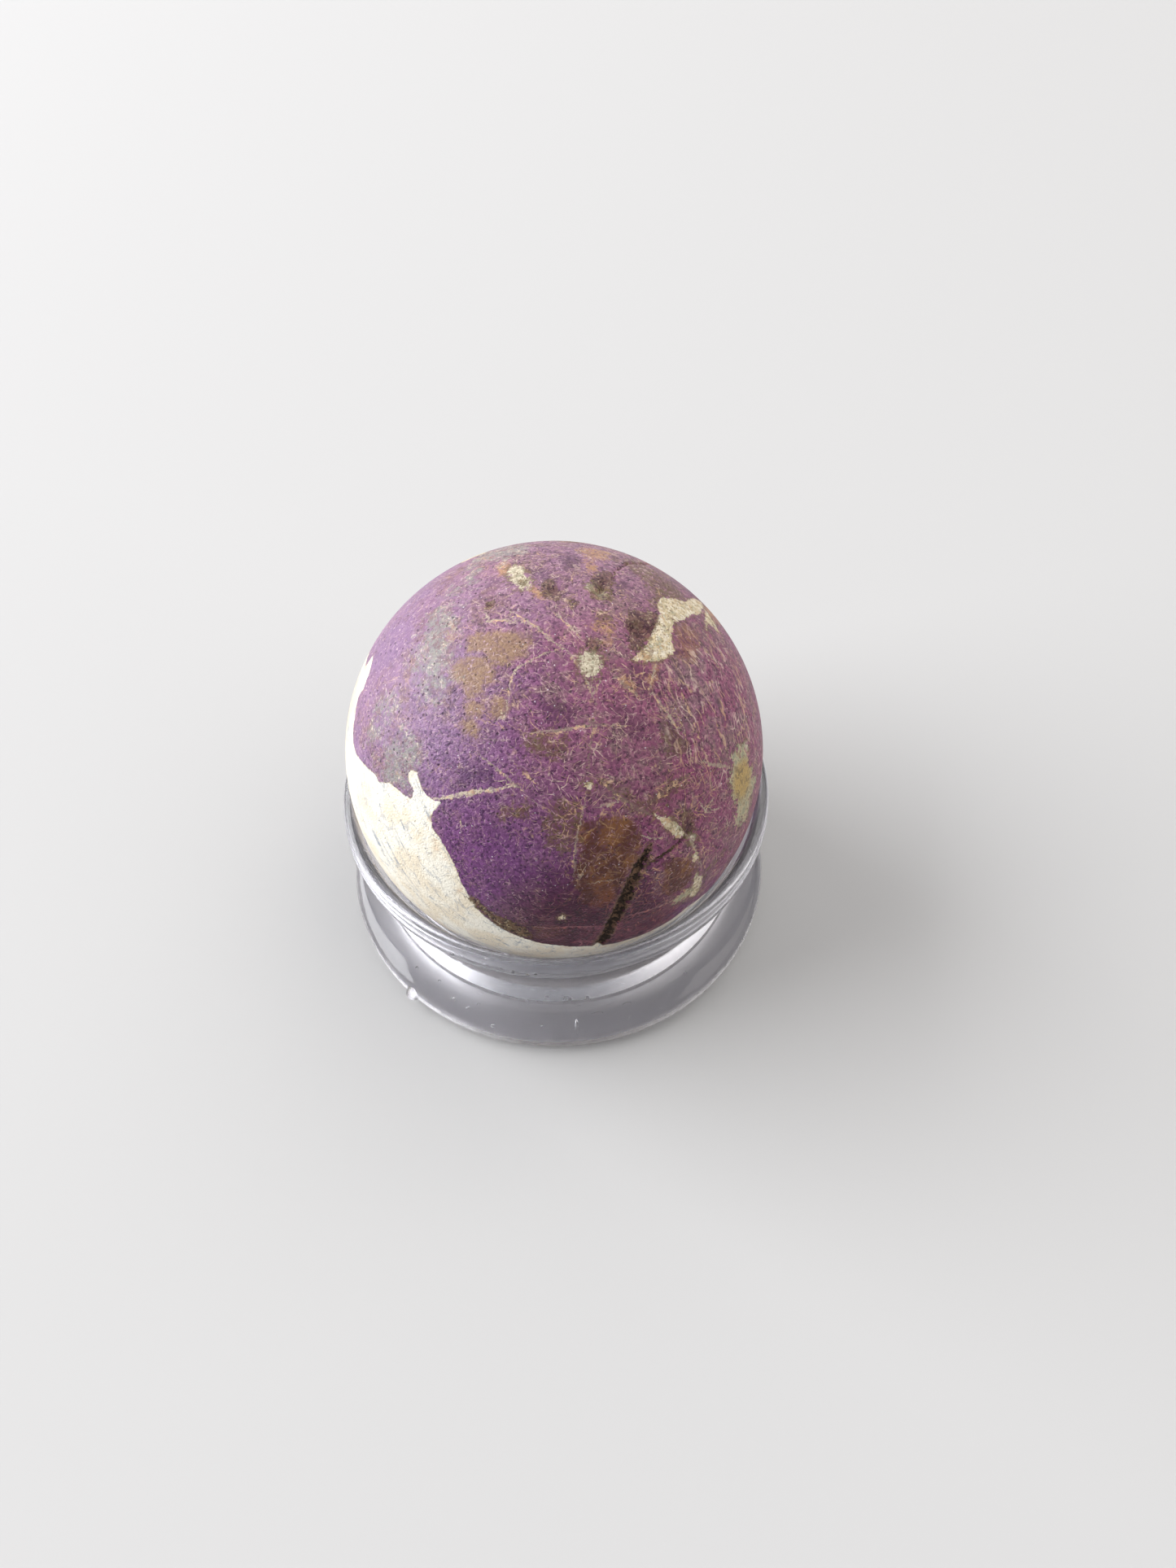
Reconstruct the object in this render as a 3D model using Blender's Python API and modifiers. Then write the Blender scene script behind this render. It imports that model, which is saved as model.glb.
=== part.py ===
"""Polished purpurite sphere resting in its clear moulded ring stand.

Metres, +Z up. The origin is the middle of the stand's base, on the surface it stands on.
Longitude is measured round the stone from its front, -Y, towards +X; latitude is up from its waist.
"""

import math

import bmesh
import bpy
from mathutils import Matrix, Vector

MM = 0.001
GAP = 0.3 * MM

# Stone
STONE_RADIUS = 20.0 * MM
STONE_CENTRE_Z = 20.8 * MM
STONE_SUBDIVISIONS = 5

# Open crack down the front of the stone, and the hairline that leaves it
CRACK_WIDTH = 1.15 * MM
CRACK_DEPTH = 0.5 * MM
HAIRLINE_WIDTH = 0.6 * MM
HAIRLINE_DEPTH = 0.28 * MM

# Ring stand: crest of the upper rim, waist, base bead, flat foot and the straight bore through it
STAND_HEIGHT = 16.0 * MM
CREST_OUTER_RADIUS = 21.4 * MM
CREST_ROUNDING = 0.9 * MM
WAIST_OUTER_RADIUS = 18.9 * MM
WAIST_HEIGHT = 8.4 * MM
BASE_RADIUS = 22.3 * MM
BEAD_RADIUS = 1.45 * MM
BORE_RADIUS = 15.0 * MM
FOOT_CHAMFER = 0.4 * MM
STAND_STEPS = 60

# Stub left on the base bead where the moulding was cut from its runner
STUB_RADIUS = 0.85 * MM
STUB_REACH = 22.1 * MM
STUB_HEIGHT = 1.5 * MM
STUB_LONGITUDE = -41.5

# Each pit: longitude, latitude (degrees), length, width and depth (mm), turn of its length from north
PITS = {
    "brown_hollow": (82, 67, 3.4, 2.3, 0.55, 20),
    "pale_pit": (-148, 78, 1.9, 1.2, 0.40, 10),
    "top_scar": (166, 83, 2.6, 1.6, 0.30, -25),
    "dark_speck": (-100, 75, 0.9, 0.8, 0.30, 0),
    "pitted_patch": (126, 74, 3.2, 1.1, 0.35, 35),
    "rear_hollow": (196, 24, 3.0, 2.0, 0.45, 50),
    "side_pit": (-112, 6, 1.8, 1.3, 0.35, -30),
    "rear_pit": (142, -12, 2.2, 1.2, 0.35, 70),
}

# Grooves: (longitude, latitude, share of full width) from one end to the other
CRACK_LINE = [(27, 25, 0.35), (25, 21, 0.8), (22.8, 18.8, 0.9), (20.6, 14.3, 1.0), (18.2, 9.2, 1.0),
              (15.4, 1.5, 0.95), (12.5, -9.7, 0.8), (10, -19, 0.4)]
HAIRLINE_LINE = [(24, 19.2, 0.6), (29.3, 19.7, 1.0), (34.6, 20.7, 0.9), (39, 21.9, 0.8), (41.2, 24.4, 0.5)]
OLIVE_LINE = [(123, 72, 0.6), (137, 66, 1.0), (141, 58, 1.0), (140, 50, 0.9), (143, 41, 0.5)]
REAR_LINE = [(172, 8, 0.4), (180, 17, 0.9), (191, 23, 1.0), (203, 36, 0.8), (209, 49, 0.4)]


def clear_scene():
    for existing in list(bpy.data.objects):
        bpy.data.objects.remove(existing, do_unlink=True)


def new_collection(name):
    collection = bpy.data.collections.new(name)
    bpy.context.scene.collection.children.link(collection)
    return collection


def link_mesh(name, mesh, collection):
    piece = bpy.data.objects.new(name, mesh)
    collection.objects.link(piece)
    return piece


def principled(name, colour, roughness, transmission=0.0, ior=1.5):
    material = bpy.data.materials.new(name)
    material.use_nodes = True
    shader = material.node_tree.nodes["Principled BSDF"]
    shader.inputs["Base Color"].default_value = (*colour, 1.0)
    shader.inputs["Roughness"].default_value = roughness
    shader.inputs["Metallic"].default_value = 0.0
    shader.inputs["Transmission Weight"].default_value = transmission
    shader.inputs["IOR"].default_value = ior
    return material


def on_stone(longitude, latitude, height=0.0):
    """Point on the stone's surface, raised by height along the normal."""
    lon, lat = math.radians(longitude), math.radians(latitude)
    normal = Vector((math.cos(lat) * math.sin(lon), -math.cos(lat) * math.cos(lon), math.sin(lat)))
    return Vector((0.0, 0.0, STONE_CENTRE_Z)) + normal * (STONE_RADIUS + height)


def make_cutter(name, mesh, collection):
    cutter = link_mesh(name, mesh, collection)
    cutter.hide_render = True
    cutter.display_type = "WIRE"
    return cutter


def pit_cutter(name, pit, collection):
    """Ellipsoid sunk into the stone, which leaves a rounded pit of the stated depth."""
    longitude, latitude, length, width, depth, turn = pit
    half_height = 1.6 * depth * MM
    bm = bmesh.new()
    bmesh.ops.create_icosphere(bm, subdivisions=2, radius=1.0)
    size = Matrix.Diagonal((0.54 * width * MM, 0.54 * length * MM, half_height, 1.0))
    centre = on_stone(longitude, latitude, half_height - depth * MM)
    outward = (centre - Vector((0.0, 0.0, STONE_CENTRE_Z))).normalized()
    facing = outward.to_track_quat("Z", "Y").to_matrix().to_4x4()
    spin = Matrix.Rotation(math.radians(turn), 4, "Z")
    bmesh.ops.transform(bm, matrix=Matrix.Translation(centre) @ facing @ spin @ size, verts=bm.verts)
    mesh = bpy.data.meshes.new(name)
    bm.to_mesh(mesh)
    bm.free()
    return make_cutter(name, mesh, collection)


def groove_cutter(name, line, width, depth, collection):
    """Tapering tube laid along the surface, high enough to leave a groove of this width and depth."""
    radius = (0.25 * width * width + depth * depth) / (2.0 * depth)
    curve = bpy.data.curves.new(name, "CURVE")
    curve.dimensions = "3D"
    curve.bevel_depth = radius
    curve.bevel_resolution = 1
    curve.use_fill_caps = True
    spline = curve.splines.new("POLY")
    spline.points.add(len(line) - 1)
    for point, (longitude, latitude, share) in zip(spline.points, line):
        point.co = (*on_stone(longitude, latitude, share * (radius - depth)), 1.0)
        point.radius = share
    route = link_mesh(name + "_route", curve, collection)
    evaluated = route.evaluated_get(bpy.context.evaluated_depsgraph_get())
    mesh = bpy.data.meshes.new_from_object(evaluated)
    bpy.data.objects.remove(route, do_unlink=True)
    bm = bmesh.new()
    bm.from_mesh(mesh)
    bmesh.ops.remove_doubles(bm, verts=bm.verts, dist=0.001 * MM)
    bmesh.ops.recalc_face_normals(bm, faces=bm.faces)
    bm.to_mesh(mesh)
    bm.free()
    return make_cutter(name, mesh, collection)


def cut(piece, cutter):
    modifier = piece.modifiers.new(cutter.name, "BOOLEAN")
    modifier.operation = "DIFFERENCE"
    modifier.solver = "EXACT"
    modifier.object = cutter


def stone_sphere(parts, cutters):
    """The stone: one polished ball with its natural pits and open cracks."""
    bm = bmesh.new()
    bmesh.ops.create_icosphere(bm, subdivisions=STONE_SUBDIVISIONS, radius=STONE_RADIUS)
    bmesh.ops.translate(bm, vec=(0.0, 0.0, STONE_CENTRE_Z), verts=bm.verts)
    mesh = bpy.data.meshes.new("purpurite_sphere")
    bm.to_mesh(mesh)
    bm.free()
    stone = link_mesh("purpurite_sphere", mesh, parts)
    for name, pit in PITS.items():
        cut(stone, pit_cutter(name, pit, cutters))
    cut(stone, groove_cutter("crack", CRACK_LINE, CRACK_WIDTH, CRACK_DEPTH, cutters))
    cut(stone, groove_cutter("hairline", HAIRLINE_LINE, HAIRLINE_WIDTH, HAIRLINE_DEPTH, cutters))
    cut(stone, groove_cutter("olive_seam", OLIVE_LINE, HAIRLINE_WIDTH, HAIRLINE_DEPTH, cutters))
    cut(stone, groove_cutter("rear_seam", REAR_LINE, HAIRLINE_WIDTH, HAIRLINE_DEPTH, cutters))
    mesh.shade_smooth()
    mesh.set_sharp_from_angle(angle=math.radians(30))
    mesh.materials.append(principled("purpurite", (0.105, 0.028, 0.13), 0.45))
    return stone


def arc(centre, radius, start, end, steps):
    """Points of an arc in the section plane, ends included, angles in degrees."""
    points = []
    for step in range(steps + 1):
        angle = math.radians(start + (end - start) * step / steps)
        points.append((centre[0] + radius * math.cos(angle), centre[1] + radius * math.sin(angle)))
    return points


def hollow_arc(waist, height, end_radius, end_height, steps):
    """Arc that leaves the waist upright and swings outwards to its end point, waist first."""
    out, rise = end_radius - waist, end_height - height
    radius = (out * out + rise * rise) / (2.0 * out)
    reach = math.degrees(math.asin(rise / radius))
    return arc((waist + radius, height), radius, 180.0, 180.0 - reach, steps)


def stand_section():
    """Half section of the stand as (radius, height): down the outside, under the foot, up the bore and the seat."""
    seat_radius = STONE_RADIUS + GAP
    crest = (CREST_OUTER_RADIUS - CREST_ROUNDING, STAND_HEIGHT - CREST_ROUNDING)
    crest_drop = math.degrees(math.atan2(STONE_CENTRE_Z - crest[1], crest[0]))
    crest_arc = arc(crest, CREST_ROUNDING, 180.0 - crest_drop, -40.0, 7)
    bead = arc((BASE_RADIUS - BEAD_RADIUS, BEAD_RADIUS), BEAD_RADIUS, 60.0, -90.0, 5)
    upper_waist = hollow_arc(WAIST_OUTER_RADIUS, WAIST_HEIGHT, *crest_arc[-1], 4)
    lower_waist = hollow_arc(WAIST_OUTER_RADIUS, WAIST_HEIGHT, *bead[0], 4)
    foot = [(BORE_RADIUS + FOOT_CHAMFER, 0.0), (BORE_RADIUS, FOOT_CHAMFER)]
    bore_angle = math.degrees(math.acos(BORE_RADIUS / seat_radius))
    rim_angle = math.degrees(math.acos(crest_arc[0][0] / seat_radius))
    seat = arc((0.0, STONE_CENTRE_Z), seat_radius, -bore_angle, -rim_angle, 5)
    return crest_arc + upper_waist[-2::-1] + lower_waist[1:-1] + bead + foot + seat[:-1]


def stub_cutter(collection):
    """Small round lump that stands proud of the base bead."""
    bm = bmesh.new()
    bmesh.ops.create_icosphere(bm, subdivisions=2, radius=STUB_RADIUS)
    lon = math.radians(STUB_LONGITUDE)
    place = (STUB_REACH * math.sin(lon), -STUB_REACH * math.cos(lon), STUB_HEIGHT)
    bmesh.ops.translate(bm, vec=place, verts=bm.verts)
    mesh = bpy.data.meshes.new("moulding_stub")
    bm.to_mesh(mesh)
    bm.free()
    return make_cutter("moulding_stub", mesh, collection)


def ring_stand(parts, cutters):
    """The stand: one clear moulded ring, waisted like a spool, with its moulding stub on the base bead."""
    mesh = bpy.data.meshes.new("ring_stand")
    section = [(radius, 0.0, height) for radius, height in stand_section()]
    edges = [(index, (index + 1) % len(section)) for index in range(len(section))]
    mesh.from_pydata(section, edges, [])
    stand = link_mesh("ring_stand", mesh, parts)
    screw = stand.modifiers.new("turned", "SCREW")
    screw.axis = "Z"
    screw.angle = math.radians(360.0)
    screw.steps = STAND_STEPS
    screw.render_steps = STAND_STEPS
    screw.use_merge_vertices = True
    screw.merge_threshold = 0.01 * MM
    screw.use_smooth_shade = True
    stub = stand.modifiers.new("moulding_stub", "BOOLEAN")
    stub.operation = "UNION"
    stub.solver = "EXACT"
    stub.object = stub_cutter(cutters)
    mesh.materials.append(principled("clear_plastic", (0.93, 0.93, 0.96), 0.05, 1.0, 1.5))
    return stand


def main():
    clear_scene()
    parts = new_collection("purpurite_specimen")
    cutters = new_collection("cutters")
    stone_sphere(parts, cutters)
    ring_stand(parts, cutters)


main()
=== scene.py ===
"""A polished purpurite ball on its clear ring stand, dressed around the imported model."""
import math

import bpy
import numpy as np
from mathutils import Matrix, Vector, noise


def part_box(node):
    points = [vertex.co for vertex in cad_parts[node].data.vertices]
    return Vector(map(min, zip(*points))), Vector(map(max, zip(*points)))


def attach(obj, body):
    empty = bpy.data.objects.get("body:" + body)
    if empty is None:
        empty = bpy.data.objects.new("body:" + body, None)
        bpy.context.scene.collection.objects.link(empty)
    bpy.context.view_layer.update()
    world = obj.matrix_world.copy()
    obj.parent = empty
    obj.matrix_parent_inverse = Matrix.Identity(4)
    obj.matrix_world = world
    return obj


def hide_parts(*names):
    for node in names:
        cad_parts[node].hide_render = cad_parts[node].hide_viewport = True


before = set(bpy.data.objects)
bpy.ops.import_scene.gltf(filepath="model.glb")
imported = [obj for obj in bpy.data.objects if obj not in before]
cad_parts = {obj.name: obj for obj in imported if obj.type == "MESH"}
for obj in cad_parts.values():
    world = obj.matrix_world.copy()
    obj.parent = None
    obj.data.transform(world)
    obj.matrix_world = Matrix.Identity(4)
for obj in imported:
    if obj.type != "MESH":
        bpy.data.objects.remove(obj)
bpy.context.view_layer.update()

# Camera
# It stands where the photograph was taken from: close above the front of the ball, looking down on it
# through the wide lens of a phone. The stone's markings are placed through it, by their pixels in the
# photograph.
MM = 0.001
PHOTO_WIDTH, PHOTO_HEIGHT = 1445, 1927
FOCAL_PIXELS = 1448.0
BALL_PIXEL_X, BALL_PIXEL_Y = 682.1, 922.4
BALL_RADII_AWAY = 5.737
LOOK_DOWN = math.radians(54.9)
SENSOR_SIDE = 36.0
NEAREST_SIGHT = 10.0 * MM

ball_low, ball_high = (Vector(corner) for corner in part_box("purpurite_sphere"))
ball_centre = (ball_low + ball_high) / 2
ball_radius = (ball_high.z - ball_low.z) / 2

camera_right = Vector((1.0, 0.0, 0.0))
camera_up = Vector((0.0, math.sin(LOOK_DOWN), math.cos(LOOK_DOWN)))
camera_ahead = Vector((0.0, math.cos(LOOK_DOWN), -math.sin(LOOK_DOWN)))


def sight_line(pixel_x, pixel_y):
    """Direction, in the row's frame, in which the camera sees a pixel of the photograph."""
    across = (pixel_x - PHOTO_WIDTH / 2) / FOCAL_PIXELS
    upward = (PHOTO_HEIGHT / 2 - pixel_y) / FOCAL_PIXELS
    return (camera_ahead + across * camera_right + upward * camera_up).normalized()


camera_place = ball_centre - BALL_RADII_AWAY * ball_radius * sight_line(BALL_PIXEL_X, BALL_PIXEL_Y)
camera_data = bpy.data.cameras.new("camera")
camera_data.sensor_width = SENSOR_SIDE
camera_data.lens = SENSOR_SIDE * FOCAL_PIXELS / PHOTO_HEIGHT
camera_data.clip_start = NEAREST_SIGHT
camera = bpy.data.objects.new("camera", camera_data)
bpy.context.scene.collection.objects.link(camera)
camera_turn = Matrix((camera_right, camera_up, -camera_ahead)).transposed().to_4x4()
camera.matrix_world = Matrix.Translation(camera_place) @ camera_turn
bpy.context.scene.camera = camera

# Polished stone
# One ball of purpurite, ground and tumbled to a satin polish: purple phosphate with cream matrix below,
# brown stains and tan hair veins. Its natural pits and the crack down its front stayed open under the
# polish.
BALL_CUTS = 63
FAR_OFF, TINY = 1000.0, 1e-9

bpy.ops.object.select_all(action="DESELECT")
bpy.ops.mesh.primitive_cube_add(size=2.0, location=(0.0, 0.0, 0.0))
stone = bpy.context.object
stone.name = "polished_stone"
bpy.ops.object.mode_set(mode="EDIT")
bpy.ops.mesh.select_all(action="SELECT")
bpy.ops.mesh.subdivide(number_cuts=1)
bpy.ops.mesh.subdivide(number_cuts=BALL_CUTS)
bpy.ops.object.mode_set(mode="OBJECT")
corner_count = len(stone.data.vertices)
cube_points = np.empty(corner_count * 3)
stone.data.vertices.foreach_get("co", cube_points)
ball_points = np.tan(cube_points.reshape(-1, 3) * math.pi / 4)
facing = ball_points / np.linalg.norm(ball_points, axis=1)[:, None]


def seen(pixel_x, pixel_y):
    """Unit direction from the ball's centre to the point of its surface at a pixel of the photograph."""
    sight = sight_line(pixel_x, pixel_y)
    offset = camera_place - ball_centre
    along = offset.dot(sight)
    inside = max(along * along - offset.dot(offset) + ball_radius * ball_radius, 0.0)
    return (offset + (-along - math.sqrt(inside)) * sight).normalized()


def turned(longitude, latitude):
    """Unit direction by longitude from the front towards the right, and latitude, both in degrees."""
    lon, lat = math.radians(longitude), math.radians(latitude)
    return Vector((math.cos(lat) * math.sin(lon), -math.cos(lat) * math.cos(lon), math.sin(lat)))


def unrolled(directions, middle):
    """Directions laid flat about a middle one, in millimetres along the surface."""
    level = middle.orthogonal().normalized()
    upright = middle.cross(level)
    frame_axes = np.array([level, upright, middle])
    spread = np.asarray(directions, dtype=float) @ frame_axes.T
    angle = np.arccos(np.clip(spread[:, 2], -1.0, 1.0))
    length = np.maximum(np.hypot(spread[:, 0], spread[:, 1]), TINY)
    return spread[:, :2] * (angle / length)[:, None] * ball_radius / MM


def middle_of(outline):
    return sum(outline, Vector((0.0, 0.0, 0.0))).normalized()


def nearest_side(flat, start, end):
    """For each flat point: distance to a stretch, side of its line, and how far along it falls."""
    run = end - start
    share = np.clip(((flat - start) @ run) / max(float(run @ run), TINY), 0.0, 1.0)
    away = flat - start - share[:, None] * run
    distance = np.hypot(away[:, 0], away[:, 1])
    side = np.sign(run[0] * away[:, 1] - run[1] * away[:, 0])
    return distance, side, share


def patch_depth(outline):
    """How far each point of the ball lies inside an outline, in millimetres, negative outside."""
    middle = middle_of(outline)
    flat = unrolled(facing, middle)
    corners = unrolled([tuple(direction) for direction in outline], middle)
    nearest = np.full(corner_count, FAR_OFF)
    inside = np.zeros(corner_count, dtype=bool)
    for start, end in zip(corners, np.roll(corners, -1, axis=0)):
        distance, _, _ = nearest_side(flat, start, end)
        nearest = np.minimum(nearest, distance)
        crosses = (start[1] > flat[:, 1]) != (end[1] > flat[:, 1])
        rise = (end[1] - start[1]) or TINY
        inside ^= crosses & (flat[:, 0] < start[0] + (flat[:, 1] - start[1]) * (end[0] - start[0]) / rise)
    return np.where(inside, nearest, -nearest)


def line_offset(route, shares):
    """Distance to a route, the offset from it with its sign, and the share of full width there."""
    middle = middle_of(route)
    flat = unrolled(facing, middle)
    corners = unrolled([tuple(direction) for direction in route], middle)
    nearest = np.full(corner_count, FAR_OFF)
    offset = np.full(corner_count, FAR_OFF)
    width = np.zeros(corner_count)
    for index in range(len(corners) - 1):
        distance, side, share = nearest_side(flat, corners[index], corners[index + 1])
        closer = distance < nearest
        nearest = np.where(closer, distance, nearest)
        offset = np.where(closer, distance * side, offset)
        width = np.where(closer, shares[index] + (shares[index + 1] - shares[index]) * share, width)
    return nearest, offset, width


# Outlines wander a little where the photograph shows them, and freely where nothing shows them
WANDER_SCALE, WANDER_ROUGHNESS, WANDER_OCTAVES = 7.0, 0.8, 4
WANDER_SEEN, WANDER_UNSEEN = 0.15, 1.9
SEEN_WELL = 0.30
wander = np.array([noise.fractal(Vector(direction) * WANDER_SCALE, WANDER_ROUGHNESS, 2.0, WANDER_OCTAVES)
                   for direction in facing])
towards_camera = np.array((camera_place - ball_centre).normalized())
unseen_share = np.clip((SEEN_WELL - facing @ towards_camera) / SEEN_WELL, 0.0, 1.0)


def wandering(depth):
    return depth + (WANDER_SEEN + WANDER_UNSEEN * unseen_share) * wander


def keep_value(name, values):
    """Stores one number for each corner of the ball, for its material to read."""
    attribute = stone.data.attributes.new(name, "FLOAT", "POINT")
    attribute.data.foreach_set("value", np.asarray(values, dtype=np.float32))


def keep_patches(name, outlines):
    """Stores how deep each corner lies inside the nearest of some outlines."""
    depth = np.full(corner_count, -FAR_OFF)
    for outline in outlines:
        depth = np.maximum(depth, patch_depth(outline))
    keep_value(name, wandering(depth))


def pixels(*places):
    return [seen(pixel_x, pixel_y) for pixel_x, pixel_y in places]


def around(*places):
    return [turned(longitude, latitude) for longitude, latitude in places]


# The cream matrix takes the lower left and the whole underside
MATRIX_SEEN = pixels(
    (458, 806), (457, 814), (453, 828), (447, 846), (440, 858), (436, 880), (434, 905), (437, 925),
    (450, 940), (460, 951), (466, 961), (480, 963), (490, 970), (500, 978), (505, 981), (508, 973),
    (504, 963), (502, 951), (505, 947), (512, 949), (516, 960), (522, 975), (530, 983), (541, 986),
    (532, 997), (530, 1005), (532, 1018), (541, 1030), (550, 1045), (556, 1057), (562, 1070), (570, 1089),
    (578, 1103), (592, 1122), (606, 1134), (622, 1144), (640, 1151), (660, 1158), (690, 1162),
    (720, 1163), (745, 1161), (775, 1154), (800, 1144), (825, 1130), (845, 1114))
MATRIX_HIDDEN = around(
    (46, -13), (60, -22), (75, -27), (92, -26), (108, -33), (124, -36), (140, -27), (156, -30),
    (172, -38), (-172, -33), (-160, -20), (-150, -8), (-140, -10), (-133, 4), (-124, 12), (-117, 22),
    (-106, 27), (-96, 31))
matrix_depth = wandering(patch_depth(MATRIX_SEEN + MATRIX_HIDDEN))
keep_value("matrix", matrix_depth)

# Smaller cream and yellow patches
CREAM_PATCHES = [
    pixels((779, 810), (792, 797), (800, 783), (807, 768), (811, 756), (824, 757), (827, 768), (825, 781),
           (828, 801), (816, 807), (801, 812)),
    pixels((809, 741), (813, 735), (826, 736), (844, 741), (854, 736), (862, 745), (858, 754), (849, 755),
           (838, 762), (826, 764), (811, 753)),
    pixels((852, 737), (861, 739)) + around((101, 46), (107, 44), (105, 39))
    + pixels((864, 746), (856, 752)),
    pixels((804, 1000), (821, 1006), (832, 1014), (842, 1025), (834, 1029), (823, 1020), (813, 1012)),
    pixels((851, 1050), (857, 1047), (858, 1056), (852, 1059)),
    pixels((855, 1073), (863, 1078), (860, 1090), (853, 1101), (848, 1101), (851, 1088)),
    pixels((720, 963), (724, 962), (727, 967), (725, 970), (721, 967)),
    pixels((688, 1127), (691, 1125), (692, 1128), (689, 1130)),
]
YELLOW_PATCHES = [
    pixels((899, 928), (908, 921), (914, 916), (917, 937), (923, 947), (928, 957), (922, 980),
           (918, 1002), (912, 1012), (903, 1010), (905, 995), (899, 966), (901, 945)),
    pixels((828, 1106), (838, 1098), (848, 1092), (850, 1096), (840, 1104), (832, 1109)),
]
PALE_PATCHES = [
    pixels((714, 810), (718, 802), (727, 800), (736, 806), (739, 818), (733, 829), (723, 831), (716, 824)),
    pixels((626, 704), (631, 696), (640, 698), (645, 706), (651, 716), (646, 723), (636, 719), (628, 713)),
    pixels((735, 727), (742, 726), (744, 732), (737, 734)),
    pixels((723, 720), (727, 718), (729, 723), (725, 725)),
    pixels((846, 1026), (852, 1025), (854, 1033), (849, 1034)),
    pixels((914, 915), (918, 914), (919, 919), (915, 920)),
]
HIDDEN_CREAM = [
    around((128, 31), (133, 35), (138, 33), (141, 37), (147, 34), (144, 28), (136, 26), (130, 27)),
    around((-158, 43), (-150, 49), (-143, 46), (-146, 40), (-153, 38)),
    around((104, 2), (108, 9), (114, 8), (117, 0), (113, -6), (106, -4)),
]
keep_patches("cream", CREAM_PATCHES + HIDDEN_CREAM)
keep_patches("pale", PALE_PATCHES)
keep_patches("yellow", YELLOW_PATCHES)

# Brown and tan stains that lie in the purple
STAINS = [
    pixels((563, 813), (582, 807), (597, 807), (606, 827), (606, 839), (587, 852), (573, 859), (567, 837),
           (552, 826)),
    pixels((575, 783), (597, 778), (632, 779), (649, 790), (647, 800), (619, 817), (604, 817), (598, 805),
           (577, 798)),
    pixels((707, 1014), (731, 1010), (756, 1008), (784, 1010), (784, 1024), (788, 1038), (782, 1054),
           (771, 1072), (763, 1086), (755, 1104), (736, 1115), (717, 1108), (709, 1087), (711, 1063),
           (716, 1037)),
    pixels((570, 866), (582, 862), (594, 866), (590, 876), (576, 878)),
    pixels((604, 862), (616, 858), (622, 868), (616, 880), (606, 876)),
    pixels((568, 888), (580, 886), (592, 896), (590, 908), (578, 906)),
    pixels((817, 1062), (832, 1052), (847, 1058), (855, 1067), (844, 1087), (826, 1100), (817, 1094),
           (819, 1079)),
]
HIDDEN_STAINS = [
    around((162, 46), (170, 52), (182, 50), (186, 42), (178, 36), (166, 38)),
    around((96, -12), (104, -6), (116, -12), (112, -22), (100, -22)),
]
FAINT_STAINS = [
    pixels((640, 905), (660, 898), (690, 905), (700, 920), (690, 935), (665, 932), (645, 925)),
    pixels((863, 1071), (876, 1058), (889, 1046), (888, 1052), (876, 1067), (867, 1075)),
    pixels((644, 1136), (680, 1140), (700, 1143), (696, 1152), (678, 1156), (655, 1152)),
    pixels((789, 988), (797, 998), (822, 984), (852, 958), (846, 947), (818, 962)),
    pixels((737, 957), (746, 951), (774, 972), (808, 998), (800, 1008), (766, 984)),
    pixels((800, 722), (812, 718), (818, 730), (810, 740), (800, 736)),
    pixels((793, 741), (800, 733), (812, 730), (810, 748), (799, 749)),
    pixels((734, 752), (748, 748), (752, 768), (742, 776), (733, 766)),
    pixels((817, 890), (835, 893), (842, 915), (836, 932), (822, 925), (815, 908)),
    pixels((690, 975), (715, 990), (712, 1025), (700, 1050), (672, 1045), (668, 1010), (677, 990)),
    pixels((615, 990), (648, 985), (655, 1000), (640, 1012), (618, 1006)),
    pixels((768, 688), (785, 690), (803, 700), (820, 712), (836, 728), (846, 739), (836, 741), (822, 735),
           (808, 735), (797, 722), (784, 709), (770, 698)),
]
HIDDEN_FAINT_STAINS = [
    around((-146, 16), (-138, 26), (-126, 28), (-124, 20), (-134, 10)),
    around((196, 2), (204, 10), (214, 6), (210, -6), (200, -8)),
    around((150, 0), (160, 10), (172, 6), (168, -8), (156, -10)),
]
keep_patches("stain", STAINS + HIDDEN_STAINS)
keep_patches("faint_stain", FAINT_STAINS + HIDDEN_FAINT_STAINS)

# Orange and tan flushes of iron
TAN_PATCHES = [
    pixels((612, 692), (622, 690), (628, 698), (627, 708), (617, 706)),
    pixels((650, 719), (658, 722), (668, 734), (660, 733)),
    pixels((714, 674), (724, 674), (727, 680), (716, 680)),
    pixels((720, 688), (728, 688), (731, 697), (724, 703)),
    pixels((726, 771), (736, 767), (748, 766), (749, 777), (741, 780), (730, 778)),
    pixels((741, 783), (747, 783), (746, 790), (741, 789)),
    pixels((829, 768), (845, 766), (856, 780), (858, 800), (848, 811), (834, 806), (830, 790)),
    pixels((755, 824), (764, 826), (774, 838), (784, 852), (776, 850), (762, 838)),
    pixels((798, 832), (804, 818), (808, 812), (806, 828), (800, 846)),
    pixels((546, 775), (556, 772), (556, 788), (548, 788)),
    pixels((862, 740), (872, 748), (884, 764), (880, 770), (868, 758)),
]
HIDDEN_TAN = [
    around((148, 62), (160, 66), (166, 58), (154, 54)),
    around((112, 18), (120, 26), (126, 20), (118, 12)),
]
keep_patches("tan", TAN_PATCHES + HIDDEN_TAN)

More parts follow.
